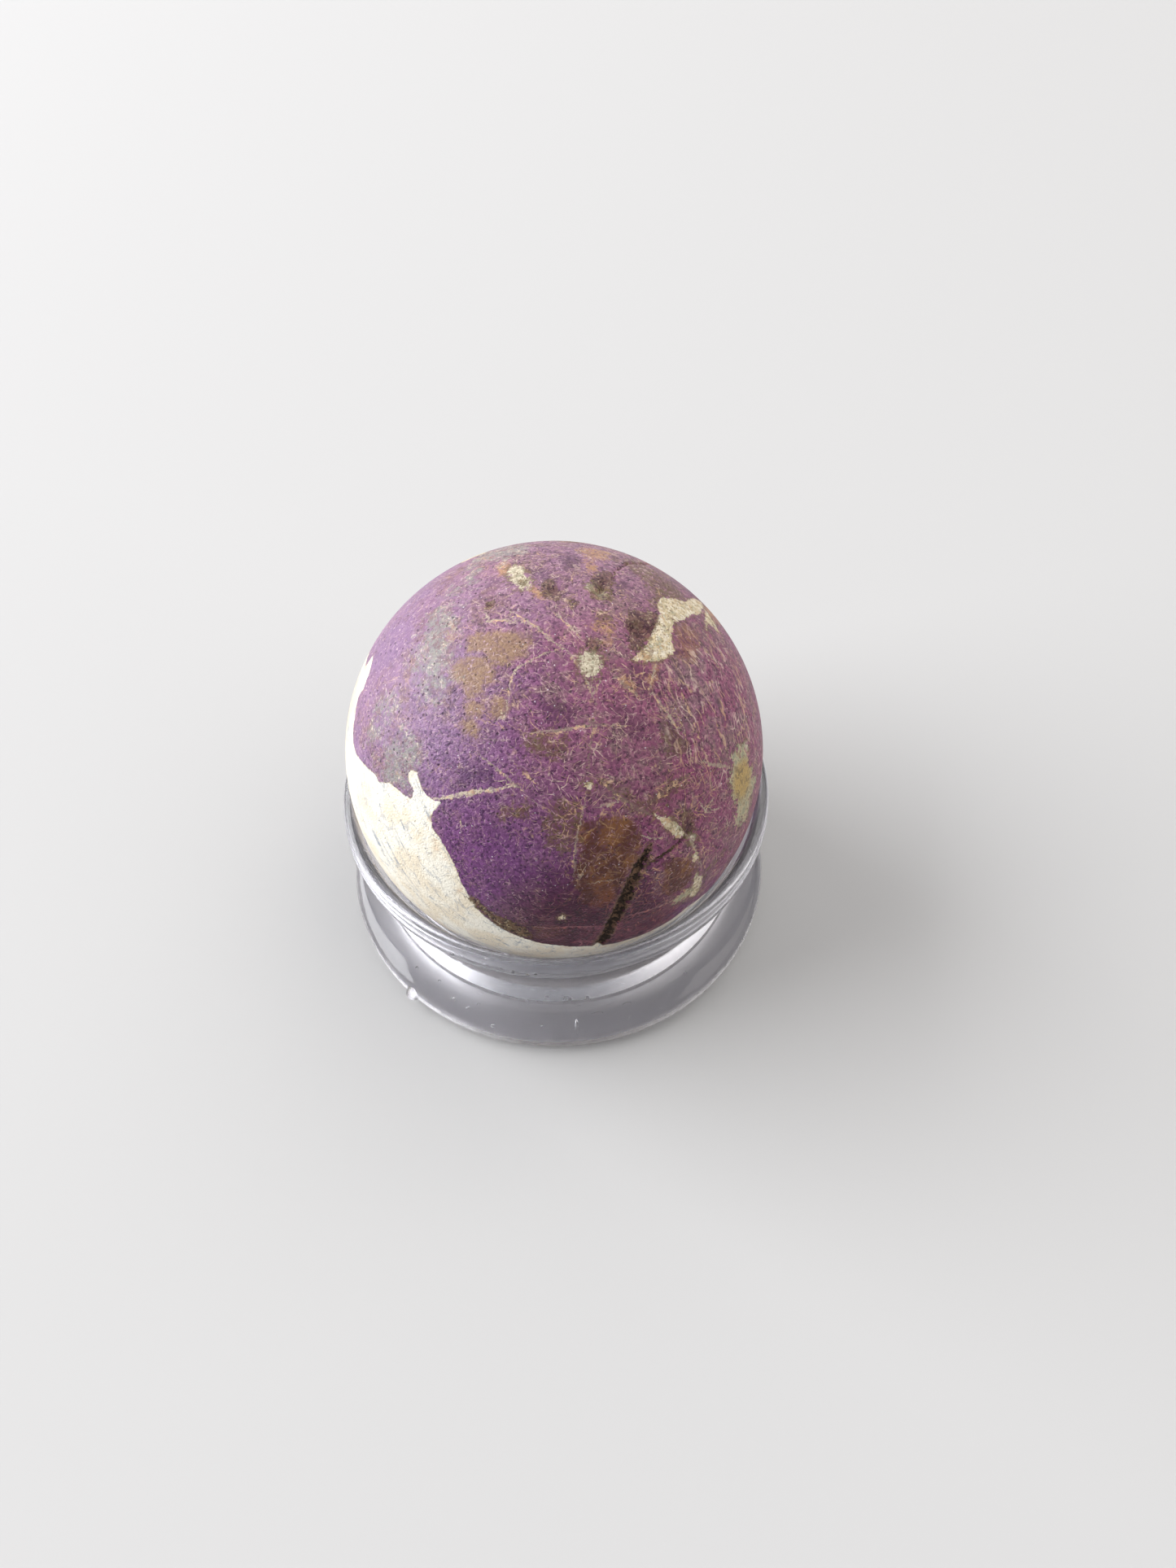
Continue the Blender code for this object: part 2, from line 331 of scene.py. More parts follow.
# Deeper purple, where the crystals are clear
DEEP_PATCHES = [
    pixels((640, 695), (664, 694), (682, 700), (672, 716), (656, 712)),
    pixels((681, 684), (698, 682), (718, 686), (716, 698), (696, 700)),
    pixels((750, 716), (764, 713), (774, 722), (764, 733), (750, 728)),
    pixels((778, 814), (800, 820), (812, 838), (800, 862), (776, 856), (762, 836)),
    pixels((746, 868), (776, 872), (800, 890), (790, 912), (758, 902)),
    pixels((662, 862), (690, 856), (712, 872), (704, 894), (672, 890)),
    pixels((560, 940), (592, 936), (612, 950), (596, 966), (562, 966)),
]
keep_patches("deep", DEEP_PATCHES)

# Pale grey bloom, where the polish is clouded
BLOOM = [
    pixels((473, 914), (492, 899), (513, 914), (517, 937), (505, 951), (506, 976), (494, 974), (475, 962),
           (467, 943)),
    pixels((543, 742), (556, 748), (562, 762), (552, 786), (548, 812), (546, 840), (538, 858), (524, 852),
           (516, 830), (512, 804), (518, 780), (530, 756)),
    pixels((580, 700), (586, 700), (587, 714), (580, 716)),
    pixels((562, 722), (568, 722), (563, 734), (552, 744), (546, 742), (554, 732)),
    pixels((460, 868), (474, 862), (484, 868), (478, 880), (464, 880)),
    pixels((454, 897), (462, 894), (466, 904), (458, 910)),
]
HIDDEN_BLOOM = [around((-168, 60), (-150, 64), (-140, 56), (-152, 48), (-166, 52))]
keep_patches("bloom", BLOOM + HIDDEN_BLOOM)

# Dark granular patches: pitted oxide along the matrix edge and in the hollows
DARK_PATCHES = [
    pixels((574, 1103), (590, 1119), (606, 1133), (630, 1146), (652, 1153), (648, 1141), (630, 1134),
           (612, 1126), (596, 1114), (583, 1104)),
    pixels((773, 755), (790, 754), (806, 754), (809, 761), (800, 781), (790, 793), (775, 788), (773, 768)),
    pixels((717, 793), (725, 786), (735, 783), (737, 796), (726, 799)),
    pixels((725, 721), (730, 708), (746, 703), (753, 706), (752, 717), (746, 727), (741, 735), (731, 735)),
    pixels((667, 717), (678, 713), (691, 728), (682, 741), (669, 731)),
    pixels((598, 741), (604, 738), (609, 743), (604, 748), (598, 747)),
    pixels((834, 998), (846, 996), (854, 1008), (852, 1026), (842, 1026), (836, 1010)),
    pixels((637, 713), (645, 713), (647, 717), (639, 718)),
    pixels((697, 737), (706, 736), (710, 744), (701, 746)),
    pixels((722, 787), (731, 782), (738, 788), (736, 796), (724, 797)),
    pixels((774, 782), (787, 783), (788, 794), (777, 797)),
]
HIDDEN_DARK = [
    around((191, 26), (197, 29), (202, 25), (198, 19), (191, 20)),
    around((-116, 8), (-110, 10), (-107, 5), (-111, 1), (-116, 3)),
    around((137, -9), (143, -8), (148, -13), (143, -16), (137, -14)),
]
keep_patches("dark", DARK_PATCHES + HIDDEN_DARK)

# Open crack and seams, by longitude, latitude and share of full width. A seam's first two values are its
# width and how far its dark filling stays from its lips.
CRACK_WIDTH, CRACK_DEPTH = 1.15, 0.5
LEAST_HALF_WIDTH = 0.02
CRACK_FADES_WITHIN = 0.9
CRACK_LINE = [(27, 25, 0.35), (25, 21, 0.8), (22.8, 18.8, 0.9), (20.6, 14.3, 1.0), (18.2, 9.2, 1.0),
              (15.4, 1.5, 0.95), (12.5, -9.7, 0.8), (10, -19, 0.4)]
SEAM_DEPTH = 0.22
SEAM_LINES = [
    (0.36, 0.0, [(24, 19.2, 0.6), (29.3, 19.7, 1.0), (34.6, 20.7, 0.9), (39, 21.9, 0.8), (41.2, 24.4, 0.5)]),
    (0.38, 0.12, [(123, 72, 0.6), (137, 66, 1.0), (141, 58, 1.0), (140, 50, 0.9), (143, 41, 0.5)]),
    (0.60, 0.10, [(172, 8, 0.4), (180, 17, 0.9), (191, 23, 1.0), (203, 36, 0.8), (209, 49, 0.4)]),
]
relief = np.zeros(corner_count)


def open_groove(line, width, depth):
    """Depth of a groove along a line at each corner, and how far inside it the corner lies."""
    route = [turned(lon, lat) for lon, lat, _ in line]
    nearest, _, share = line_offset(route, [part_share for _, _, part_share in line])
    half = np.maximum(0.5 * width * share, LEAST_HALF_WIDTH)
    across = np.clip(nearest / half, 0.0, 1.0)
    return np.where(nearest < half, -depth * share * (1.0 - across ** 2), 0.0), half - nearest


sunk, crack_room = open_groove(CRACK_LINE, CRACK_WIDTH, CRACK_DEPTH)
in_purple = np.clip((CRACK_FADES_WITHIN - matrix_depth) / CRACK_FADES_WITHIN, 0.0, 1.0)
relief = np.minimum(relief, sunk * in_purple)
keep_value("crack", crack_room - 2.0 * (1.0 - in_purple))
seam_room = np.full(corner_count, -FAR_OFF)
for width, lip, line in SEAM_LINES:
    sunk, inside_seam = open_groove(line, width, SEAM_DEPTH)
    relief = np.minimum(relief, sunk)
    seam_room = np.maximum(seam_room, inside_seam - lip)
keep_value("seam", seam_room)

# Natural pits: longitude, latitude, length, width, depth and turn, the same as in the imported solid
PITS = {
    "brown_hollow": (82, 67, 3.4, 2.3, 0.55, 20),
    "pale_pit": (-148, 78, 1.9, 1.2, 0.40, 10),
    "top_scar": (166, 83, 2.6, 1.6, 0.30, -25),
    "dark_speck": (-100, 75, 0.9, 0.8, 0.30, 0),
    "pitted_patch": (126, 74, 3.2, 1.1, 0.35, 35),
    "rear_hollow": (196, 24, 3.0, 2.0, 0.45, 50),
    "side_pit": (-112, 6, 1.8, 1.3, 0.35, -30),
    "rear_pit": (142, -12, 2.2, 1.2, 0.35, 70),
}
for longitude, latitude, length, width, depth, turn in PITS.values():
    outward = turned(longitude, latitude)
    pit_axes = outward.to_track_quat("Z", "Y").to_matrix() @ Matrix.Rotation(math.radians(turn), 3, "Z")
    offsets = (facing @ np.array(pit_axes)) * ball_radius / MM
    reach = np.hypot(offsets[:, 0] / (0.5 * width), offsets[:, 1] / (0.5 * length))
    bowl = np.where((reach < 1.0) & (offsets[:, 2] > 0.0), -depth * (1.0 - reach ** 2), 0.0)
    relief = np.minimum(relief, bowl)

# The floors of the pits and cracks are broken and granular, unlike the polished skin around them
SUNKEN_FROM, FULL_GRAIN_FROM = 0.02, 0.25
COARSE_GRAIN, FINE_GRAIN = 38.0, 90.0
GRAIN_HEIGHT, FINE_GRAIN_SHARE = 0.22, 0.6
for corner in np.nonzero(relief < -SUNKEN_FROM)[0]:
    outward = Vector(facing[corner])
    bump = noise.noise(outward * COARSE_GRAIN) + FINE_GRAIN_SHARE * noise.noise(outward * FINE_GRAIN)
    relief[corner] += GRAIN_HEIGHT * bump * min(1.0, -relief[corner] / FULL_GRAIN_FROM)
relief = np.minimum(relief, 0.0)
keep_value("hollow", -relief)

ball_points = np.array(ball_centre) + facing * (ball_radius + relief * MM)[:, None]
stone.data.vertices.foreach_set("co", ball_points.ravel())
stone.data.update()

# Veins that can be followed one by one: route by pixels, width at its middle, and 0 for cream to 1 for brown
VEIN_ENDS, VEIN_REACH = 0.12, 0.8
VEINS = [
    (pixels((527, 984), (545, 981), (560, 978), (575, 975), (592, 972), (612, 970), (632, 966)), 0.42, 0.0),
    (pixels((733, 858), (731, 880), (727, 905), (724, 930), (722, 955)), 0.18, 0.8),
    (pixels((722, 966), (716, 995), (710, 1025), (706, 1052), (706, 1080)), 0.17, 0.6),
    (pixels((737, 957), (762, 981), (785, 995), (804, 1002)), 0.4, 0.85),
    (pixels((592, 930), (609, 944), (626, 958), (646, 976)), 0.22, 0.5),
    (pixels((636, 941), (646, 951), (659, 963)), 0.3, 1.0),
    (pixels((690, 797), (670, 803), (649, 813), (632, 824), (628, 836), (624, 860), (622, 880)), 0.17, 0.3),
    (pixels((622, 748), (634, 755), (658, 770), (678, 787), (697, 799)), 0.26, 0.45),
    (pixels((592, 765), (603, 763), (623, 762), (638, 768)), 0.2, 0.4),
    (pixels((770, 1126), (785, 1122), (813, 1113), (832, 1104), (846, 1096)), 0.2, 0.2),
    (pixels((655, 1139), (680, 1141), (700, 1139), (722, 1139), (745, 1137)), 0.2, 0.35),
    (pixels((655, 900), (680, 899), (700, 896), (727, 891), (767, 891)), 0.3, 0.6),
    (pixels((808, 811), (803, 826), (801, 838), (797, 851)), 0.2, 0.45),
    (pixels((717, 831), (723, 842), (727, 851), (731, 862)), 0.18, 0.4),
    (pixels((738, 832), (735, 842), (732, 853)), 0.16, 0.4),
    (pixels((758, 832), (768, 842), (782, 853)), 0.42, 0.8),
    (pixels((799, 848), (812, 866), (826, 886), (838, 900)), 0.26, 0.35),
    (pixels((786, 1024), (797, 1030), (807, 1031), (820, 1029)), 0.16, 0.2),
    (pixels((860, 986), (865, 993), (868, 998), (876, 996), (884, 993)), 0.24, 0.15),
    (pixels((860, 936), (875, 940), (890, 942), (900, 944)), 0.34, 0.5),
    (pixels((794, 992), (815, 972), (832, 960), (847, 952)), 0.5, 0.95),
    (pixels((838, 1024), (846, 1031), (852, 1040), (856, 1050), (862, 1066)), 0.24, 0.3),
    (pixels((697, 800), (706, 812), (712, 822)), 0.22, 0.3),
    (pixels((680, 752), (692, 762), (705, 775), (716, 786)), 0.18, 0.3),
    (pixels((594, 751), (600, 759), (604, 767)), 0.14, 0.1),
    (pixels((703, 705), (703, 714), (702, 723)), 0.16, 1.0),
    (pixels((722, 1056), (718, 1068), (713, 1077), (707, 1090)), 0.12, 0.4),
    (pixels((713, 1087), (726, 1086), (740, 1083), (754, 1081), (767, 1077)), 0.10, 0.4),
    (pixels((822, 838), (830, 862), (838, 888), (845, 912)), 0.26, 1.0),
    (pixels((834, 842), (846, 872), (858, 902), (866, 928)), 0.22, 1.0),
    (pixels((860, 789), (870, 802), (881, 817), (889, 829)), 0.30, 0.9),
    (pixels((596, 805), (600, 814), (606, 826)), 0.16, 1.0),
    (pixels((566, 1002), (567, 1014), (566, 1027)), 0.12, 0.1),
    (pixels((740, 990), (748, 989), (757, 986)), 0.24, 0.2),
    (pixels((867, 992), (873, 986), (879, 980)), 0.16, 0.1),
    (pixels((853, 1092), (845, 1097), (833, 1101)), 0.2, 0.15),
    (pixels((612, 884), (616, 881), (620, 885)), 0.2, 0.0),
]
vein_side = np.full(corner_count, FAR_OFF)
vein_half = np.zeros(corner_count)
vein_tone = np.zeros(corner_count)
vein_near = np.full(corner_count, FAR_OFF)
for route, width, tone in VEINS:
    steps = np.linspace(VEIN_ENDS, 1.0 - VEIN_ENDS, len(route))
    shares = [math.sin(math.pi * step) for step in steps]
    nearest, offset, share = line_offset(route, shares)
    closer = nearest < vein_near
    vein_near = np.where(closer, nearest, vein_near)
    vein_side = np.where(closer, offset, vein_side)
    vein_half = np.where(closer, 0.5 * width * share * (nearest < VEIN_REACH), vein_half)
    vein_tone = np.where(closer, tone, vein_tone)
keep_value("vein_side", vein_side)
keep_value("vein_half", vein_half)
keep_value("vein_tone", vein_tone)


def feed(socket, value):
    """Links a shader socket to another one, or gives it a plain value."""
    if isinstance(value, bpy.types.NodeSocket):
        socket.id_data.links.new(value, socket)
    else:
        socket.default_value = value


def put(tree, kind, settings=None, **inputs):
    """Adds a shader node, sets its properties, and gives its inputs values or links."""
    made = tree.nodes.new("ShaderNode" + kind)
    for name, value in (settings or {}).items():
        setattr(made, name, value)
    for name, value in inputs.items():
        feed(made.inputs[name.replace("_", " ")], value)
    return made


def put_beside(values, kind, settings, inputs):
    """Adds a node to the tree that some values come from, and feeds the values to its inputs."""
    tree = next(value.id_data for value in values if isinstance(value, bpy.types.NodeSocket))
    made = put(tree, kind, settings)
    for index, value in zip(inputs, values):
        feed(made.inputs[index], value)
    return made


def work_out(operation, *values):
    return put_beside(values, "Math", {"operation": operation}, (0, 1)).outputs[0]


def work_through(operation, values):
    """Works the first two values out, then that result with the third one, and so on."""
    made = values[0]
    for value in values[1:]:
        made = work_out(operation, made, value)
    return made


def total(*values):
    return work_through("ADD", values)


def product(*values):
    return work_through("MULTIPLY", values)


def strongest(*values):
    return work_through("MAXIMUM", values)


def vector_work(operation, *values):
    made = put_beside(values, "VectorMath", {"operation": operation}, (0, 1, 2))
    return made.outputs["Value" if operation in ("DOT_PRODUCT", "LENGTH") else "Vector"]


def fade(value, low, high, start=0.0, end=1.0):
    """Smooth step of a value between two limits."""
    made = put(value.id_data, "MapRange", {"interpolation_type": "SMOOTHSTEP"}, Value=value, From_Min=low,
               From_Max=high, To_Min=start, To_Max=end)
    return made.outputs["Result"]


def blend(factor, first, second, way="MIX"):
    settings = {"data_type": "RGBA", "blend_type": way}
    return put_beside((factor, first, second), "Mix", settings, (0, 6, 7)).outputs[2]


def layered(base, *layers):
    """A colour with others laid over it in turn, each through its own mask."""
    for mask, colour in layers:
        base = blend(mask, base, colour)
    return base


def blend_value(factor, first, second):
    return put_beside((factor, first, second), "Mix", {"data_type": "FLOAT"}, (0, 2, 3)).outputs[0]


def cloud(vector, scale, detail=3.0, roughness=0.55, distortion=0.0):
    made = put(vector.id_data, "TexNoise", None, Vector=vector, Scale=scale, Detail=detail,
               Roughness=roughness, Distortion=distortion)
    return made.outputs["Fac"]


def pushed(vector, scale, detail, reach, start=None):
    """A vector, or another one that it starts from, pushed about by a soft noise."""
    push = put(vector.id_data, "TexNoise", None, Vector=vector, Scale=scale, Detail=detail).outputs["Color"]
    return vector_work("MULTIPLY_ADD", push, (reach,) * 3, start or vector)


def in_millimetres(tree, origin):
    """Object coordinates in millimetres from a point."""
    made = put(tree, "Mapping", None, Vector=put(tree, "TexCoord").outputs["Object"],
               Location=tuple(-value / MM for value in origin), Scale=(1.0 / MM,) * 3)
    return made.outputs[0]


def new_group(name, **settings):
    """Empty shader group that takes a vector and named settings. It puts out one mask."""
    tree = bpy.data.node_groups.new(name, "ShaderNodeTree")
    for label, value in {"Vector": (0.0, 0.0, 0.0), **settings}.items():
        kind = "NodeSocketVector" if isinstance(value, tuple) else "NodeSocketFloat"
        tree.interface.new_socket(label, in_out="INPUT", socket_type=kind).default_value = value
    tree.interface.new_socket("Mask", in_out="OUTPUT", socket_type="NodeSocketFloat")
    given = tree.nodes.new("NodeGroupInput")
    result = tree.nodes.new("NodeGroupOutput")
    return tree, given.outputs, result.inputs["Mask"]


def place_group(group, vector, **settings):
    """Places a shader group beside the vector that it reads, and gives back its mask."""
    made = vector.id_data.nodes.new("ShaderNodeGroup")
    made.node_tree = group
    for name, value in {"Vector": vector, **settings}.items():
        feed(made.inputs[name], value)
    return made.outputs["Mask"]


def broken_up(vector, scale, cover, softness):
    """Mask that breaks lines up into stretches, with more of them left as the cover rises."""
    limit = work_out("SUBTRACT", 0.78, product(cover, 0.5))
    return fade(cloud(vector, scale, 2.0, 0.5), limit, total(limit, softness))


def hair_vein_group():
    """Long hairs where the surface cuts thin bent sheets of vein filling."""
    tree, given, mask = new_group("hair_veins", Turn=(0.0, 0.0, 0.0), Stretch=(1.0, 1.0, 1.0), Width=0.05,
                                  Cover=0.5, Seed=0.0)
    shift = put(tree, "CombineXYZ", None, X=given["Seed"], Y=given["Seed"]).outputs[0]
    moved = vector_work("ADD", given["Vector"], shift)
    crinkled = pushed(moved, 1.7, 2.0, 0.3, pushed(moved, 0.24, 1.0, 3.0))
    spun = put(tree, "VectorRotate", {"rotation_type": "EULER_XYZ"}, Vector=crinkled, Rotation=given["Turn"])
    stretched = vector_work("MULTIPLY", spun.outputs[0], given["Stretch"])
    cells = put(tree, "TexVoronoi", {"feature": "DISTANCE_TO_EDGE"}, Vector=stretched, Scale=1.0)
    line = fade(cells.outputs["Distance"], 0.0, given["Width"], 1.0, 0.0)
    feed(mask, product(line, broken_up(moved, 0.75, given["Cover"], 0.08)))
    return tree


def curl_vein_group():
    """Curling hairs that never meet: the middle line of a soft noise, broken up."""
    tree, given, mask = new_group("curl_veins", Stretch=(1.0, 1.0, 1.0), Width=0.02, Cover=0.5, Seed=0.0)
    shift = put(tree, "CombineXYZ", None, Y=given["Seed"], Z=given["Seed"]).outputs[0]
    moved = vector_work("MULTIPLY_ADD", given["Vector"], given["Stretch"], shift)
    from_middle = work_out("ABSOLUTE", work_out("SUBTRACT", cloud(moved, 1.0, 1.2, 0.5, 0.25), 0.5))
    line = fade(from_middle, 0.0, given["Width"], 1.0, 0.0)
    feed(mask, product(line, broken_up(moved, 1.6, given["Cover"], 0.06)))
    return tree


def needle_vein_group():
    """Short straight hairs: each cell holds one thin plate of vein filling, cut across by the surface."""
    tree, given, mask = new_group("needle_veins", Scale=0.5, Reach=1.0, Width=0.05, Share=0.7, Seed=0.0)
    shift = put(tree, "CombineXYZ", None, X=given["Seed"], Z=given["Seed"]).outputs[0]
    moved = vector_work("ADD", given["Vector"], shift)
    cells = put(tree, "TexVoronoi", {"feature": "F1"}, Vector=moved, Scale=given["Scale"]).outputs
    offset = vector_work("SUBTRACT", moved, cells["Position"])
    plate_normal = vector_work("NORMALIZE", vector_work("SUBTRACT", cells["Color"], (0.5, 0.5, 0.5)))
    from_plate = work_out("ABSOLUTE", vector_work("DOT_PRODUCT", offset, plate_normal))
    half_width = product(given["Width"], 0.5)
    line = fade(from_plate, product(half_width, 0.4), product(half_width, 1.6), 1.0, 0.0)
    ends = fade(vector_work("LENGTH", offset), product(given["Reach"], 0.6), given["Reach"], 1.0, 0.0)
    chance = put(tree, "TexWhiteNoise", {"noise_dimensions": "3D"}, Vector=cells["Position"]).outputs
    feed(mask, product(line, ends, work_out("LESS_THAN", chance["Value"], given["Share"])))
    return tree


def pinhole_and_glint_group():
    """Fine pits, or painted glints: only some of the cells hold one, and each has its own size."""
    tree, given, mask = new_group("pinholes_and_glints", Scale=2.5, Size=0.25, Share=0.5)
    cells = put(tree, "TexVoronoi", {"feature": "F1"}, Vector=given["Vector"], Scale=given["Scale"]).outputs
    chance = put(tree, "SeparateColor", None, Color=cells["Color"]).outputs[0]
    radius = product(chance, given["Size"])
    dot = fade(cells["Distance"], product(radius, 0.4), radius, 1.0, 0.0)
    feed(mask, product(dot, work_out("GREATER_THAN", chance, work_out("SUBTRACT", 1.0, given["Share"]))))
    return tree


hair_veins = hair_vein_group()
curl_veins = curl_vein_group()
needle_veins = needle_vein_group()
pinholes_and_glints = pinhole_and_glint_group()

# Colours of the stone. Each SHARE is what its colour is multiplied by
DEEP_VIOLET = (0.132, 0.040, 0.138, 1.0)
MAGENTA_PURPLE = (0.200, 0.052, 0.112, 1.0)
MAROON = (0.062, 0.010, 0.038, 1.0)
LILAC = (0.240, 0.142, 0.245, 1.0)
FADED_MAUVE = (0.252, 0.132, 0.190, 1.0)
PINK_MAUVE = (0.255, 0.105, 0.165, 1.0)
MAUVE_BROWN = (0.170, 0.090, 0.105, 1.0)
DARKER_SHARE = (0.36, 0.33, 0.40, 1.0)
LIGHTER_SHARE = (1.8, 2.1, 1.75, 1.0)
FRONT_FOOT_SHADE = (0.66, 0.32, 0.50, 1.0)
HAIR_TAN = (0.60, 0.39, 0.24, 1.0)
HAIR_PALE = (0.74, 0.56, 0.47, 1.0)
HAIR_GOLD = (0.62, 0.37, 0.16, 1.0)
VEIN_CREAM = (0.58, 0.50, 0.36, 1.0)
VEIN_BROWN = (0.13, 0.065, 0.065, 1.0)
STAIN_TAN = (0.280, 0.174, 0.105, 1.0)
STAIN_MAUVE = (0.130, 0.062, 0.050, 1.0)
STAIN_BROWN = (0.085, 0.028, 0.010, 1.0)
STAIN_ORANGE = (0.195, 0.078, 0.020, 1.0)
TAN_ORANGE = (0.400, 0.220, 0.115, 1.0)
RUST_BROWN = (0.200, 0.085, 0.060, 1.0)
BLOOM_GREY = (0.235, 0.232, 0.208, 1.0)
PIT_SHADE_BLACK = (0.012, 0.006, 0.012, 1.0)
GLINT_HIGHLIGHT_WHITE = (0.75, 0.70, 0.74, 1.0)
MATRIX_WHITE = (0.83, 0.785, 0.675, 1.0)
MATRIX_CREAM = (0.76, 0.67, 0.52, 1.0)
MATRIX_WINDOW_SHADE = (0.46, 0.40, 0.31, 1.0)
MATRIX_BLUE = (0.27, 0.30, 0.35, 1.0)
RUST = (0.55, 0.27, 0.10, 1.0)
PALE_WHITE = (0.54, 0.475, 0.35, 1.0)
FLECK_TAN = (0.52, 0.33, 0.18, 1.0)
PATCH_CREAM = (0.58, 0.47, 0.29, 1.0)
PATCH_GREEN = (0.30, 0.29, 0.20, 1.0)
YELLOW_OCHRE = (0.44, 0.30, 0.11, 1.0)
OXIDE_DARK = (0.042, 0.026, 0.018, 1.0)
OXIDE_BROWN = (0.165, 0.095, 0.058, 1.0)
OLIVE = (0.140, 0.095, 0.045, 1.0)
CRACK_BLACK = (0.024, 0.014, 0.009, 1.0)

# Spots that the tones fade towards, and lines that the streaks run along
SPOTS = {
    "violet side": seen(600, 1030), "magenta side": seen(880, 880), "low edge": seen(720, 1142),
    "lilac sheen limb": seen(460, 820), "upper limb": seen(450, 800), "even limb": seen(470, 780),
    "quiet limb": seen(470, 850), "sheen crown": seen(690, 680), "pink spot": seen(868, 850),
    "middle": seen(685, 930), "tan stains": seen(570, 800), "rust spot": seen(850, 790),
    "streaked side": seen(885, 870), "dark streaks": seen(860, 850), "quiet front": seen(575, 1040),
    "calm front": seen(675, 1115), "golden foot": seen(790, 1080), "shaded front foot": seen(735, 1158),
    "ochre heart": seen(913, 958), "matrix fringe": seen(620, 1135), "window shade side": turned(-118, -4),
}
STREAK_ENDS = seen(840, 815), seen(885, 925)
MATRIX_GRAIN_ENDS = seen(482, 985), seen(562, 1112)

stone_material = bpy.data.materials.new("polished_purpurite")
stone_material.use_nodes = True
skin = stone_material.node_tree
place = in_millimetres(skin, ball_centre)


def kept(name):
    return put(skin, "Attribute", {"attribute_name": name}).outputs["Fac"]


def towards(spot, low, high, start=0.0, end=1.0):
    """Share that fades in towards one of the spots."""
    lean = vector_work("DOT_PRODUCT", place, tuple(SPOTS[spot] * (MM / ball_radius)))
    return fade(lean, low, high, start, end)


def lay_along(ends):
    """Turn that brings the direction between two points onto X, for a lay that runs along it."""
    start, end = ends
    return tuple((end - start).normalized().rotation_difference(Vector((1.0, 0.0, 0.0))).to_euler())


def hair_lay(turn, stretch, width, cover, seed):
    return place_group(hair_veins, place, Turn=turn, Stretch=stretch, Width=width, Cover=cover, Seed=seed)


bent_place = pushed(place, 0.9, 2.0, 0.55)


def needle_lay(scale, reach, width, share, seed):
    return place_group(needle_veins, bent_place, Scale=scale, Reach=reach, Width=width, Share=share,
                       Seed=seed)


# Textures that the layers share
drift = cloud(place, 0.13, 3.0, 0.6, 0.6)
mottle = cloud(place, 0.45, 5.0, 0.62, 0.5)
clots = cloud(place, 1.5, 4.0, 0.65)
crumbs = put(skin, "TexVoronoi", {"feature": "F1"}, Vector=place, Scale=4.4).outputs
crumb = put(skin, "SeparateColor", None, Color=crumbs["Color"]).outputs
grain = cloud(place, 5.0, 2.0, 0.6)
strokes = cloud(vector_work("MULTIPLY", place, (1.3, 5.0, 2.6)), 1.0, 3.0, 0.6, 0.8)
ragged = work_out("SUBTRACT", cloud(place, 0.8, 5.0, 0.7), 0.5)
ragged_fine = work_out("SUBTRACT", cloud(place, 3.0, 4.0, 0.65), 0.5)


def torn(name, coarse, fine):
    """Depth inside the outlines kept under a name, with their edges torn by noise."""
    return total(kept(name), product(ragged, coarse), product(ragged_fine, fine))


# Purple ground: broad drifts of colour, brown mottle, then dark and light crystal grains
mottled = product(fade(mottle, 0.45, 0.60), fade(clots, 0.38, 0.60, 0.25, 0.9),
                  towards("violet side", 0.80, 0.97, 1.0, 0.25),
                  towards("upper limb", 0.80, 0.96, 1.0, 0.35))
purple = layered(
    DEEP_VIOLET,
    (fade(drift, 0.42, 0.58), MAGENTA_PURPLE),
    (towards("violet side", 0.60, 0.95), DEEP_VIOLET),
    (towards("magenta side", 0.45, 0.95), MAGENTA_PURPLE),
    (towards("low edge", 0.86, 0.985), MAROON),
    # Lilac towards the upper-left limb: partly a lighter tone of the stone, partly painted sheen
    (towards("lilac sheen limb", 0.55, 0.97, 0.0, 0.8), LILAC),
    # Faded mauve on the crown: painted sheen, a lighter and greyer top
    (towards("sheen crown", 0.70, 0.99, 0.0, 0.7), FADED_MAUVE),
    (product(towards("pink spot", 0.955, 0.995), fade(mottle, 0.40, 0.55)), PINK_MAUVE),
    (towards("middle", 0.86, 0.985, 0.0, 0.18), FADED_MAUVE),
    (mottled, MAUVE_BROWN))
dark_purple = blend(1.0, purple, DARKER_SHARE, "MULTIPLY")
light_purple = blend(1.0, purple, LIGHTER_SHARE, "MULTIPLY")
even_left = towards("even limb", 0.70, 0.96, 1.0, 0.35)
purple = layered(
    purple,
    (product(fade(crumb[0], 0.0, 0.60, 0.85, 0.0), even_left), dark_purple),
    (product(fade(crumb[1], 0.55, 1.0, 0.0, 0.6), even_left), light_purple),
    (product(fade(clots, 0.50, 0.72, 0.0, 0.45), even_left), light_purple),
    (fade(strokes, 0.50, 0.68, 0.0, 0.30), light_purple),
    (fade(torn("deep", 3.0, 1.5), -0.3, 0.5, 0.0, 0.5), dark_purple))

# Stains and bloom lie in the purple, under the hair veins
stain = product(fade(torn("stain", 2.0, 1.2), -0.55, 0.25), fade(crumb[0], 0.0, 0.6, 0.62, 0.92))
stain_colour = layered(
    STAIN_BROWN,
    (fade(mottle, 0.46, 0.60), STAIN_ORANGE),
    (towards("tan stains", 0.72, 0.93), STAIN_TAN),
    (fade(crumb[2], 0.0, 0.5, 0.5, 0.0), VEIN_BROWN))
faint_stain = product(fade(torn("faint_stain", 4.0, 2.0), -0.3, 0.5), fade(crumb[2], 0.0, 0.7, 0.35, 0.85))
flush = product(fade(torn("tan", 2.4, 2.0), -0.45, 0.35), fade(crumb[1], 0.0, 0.8, 0.3, 0.85))
flush_colour = blend(towards("rust spot", 0.955, 0.99, 0.0, 0.85), TAN_ORANGE, RUST_BROWN)
bloom = product(fade(torn("bloom", 8.0, 5.0), -1.1, 0.9), fade(crumb[1], 0.1, 0.8, 0.5, 0.9))
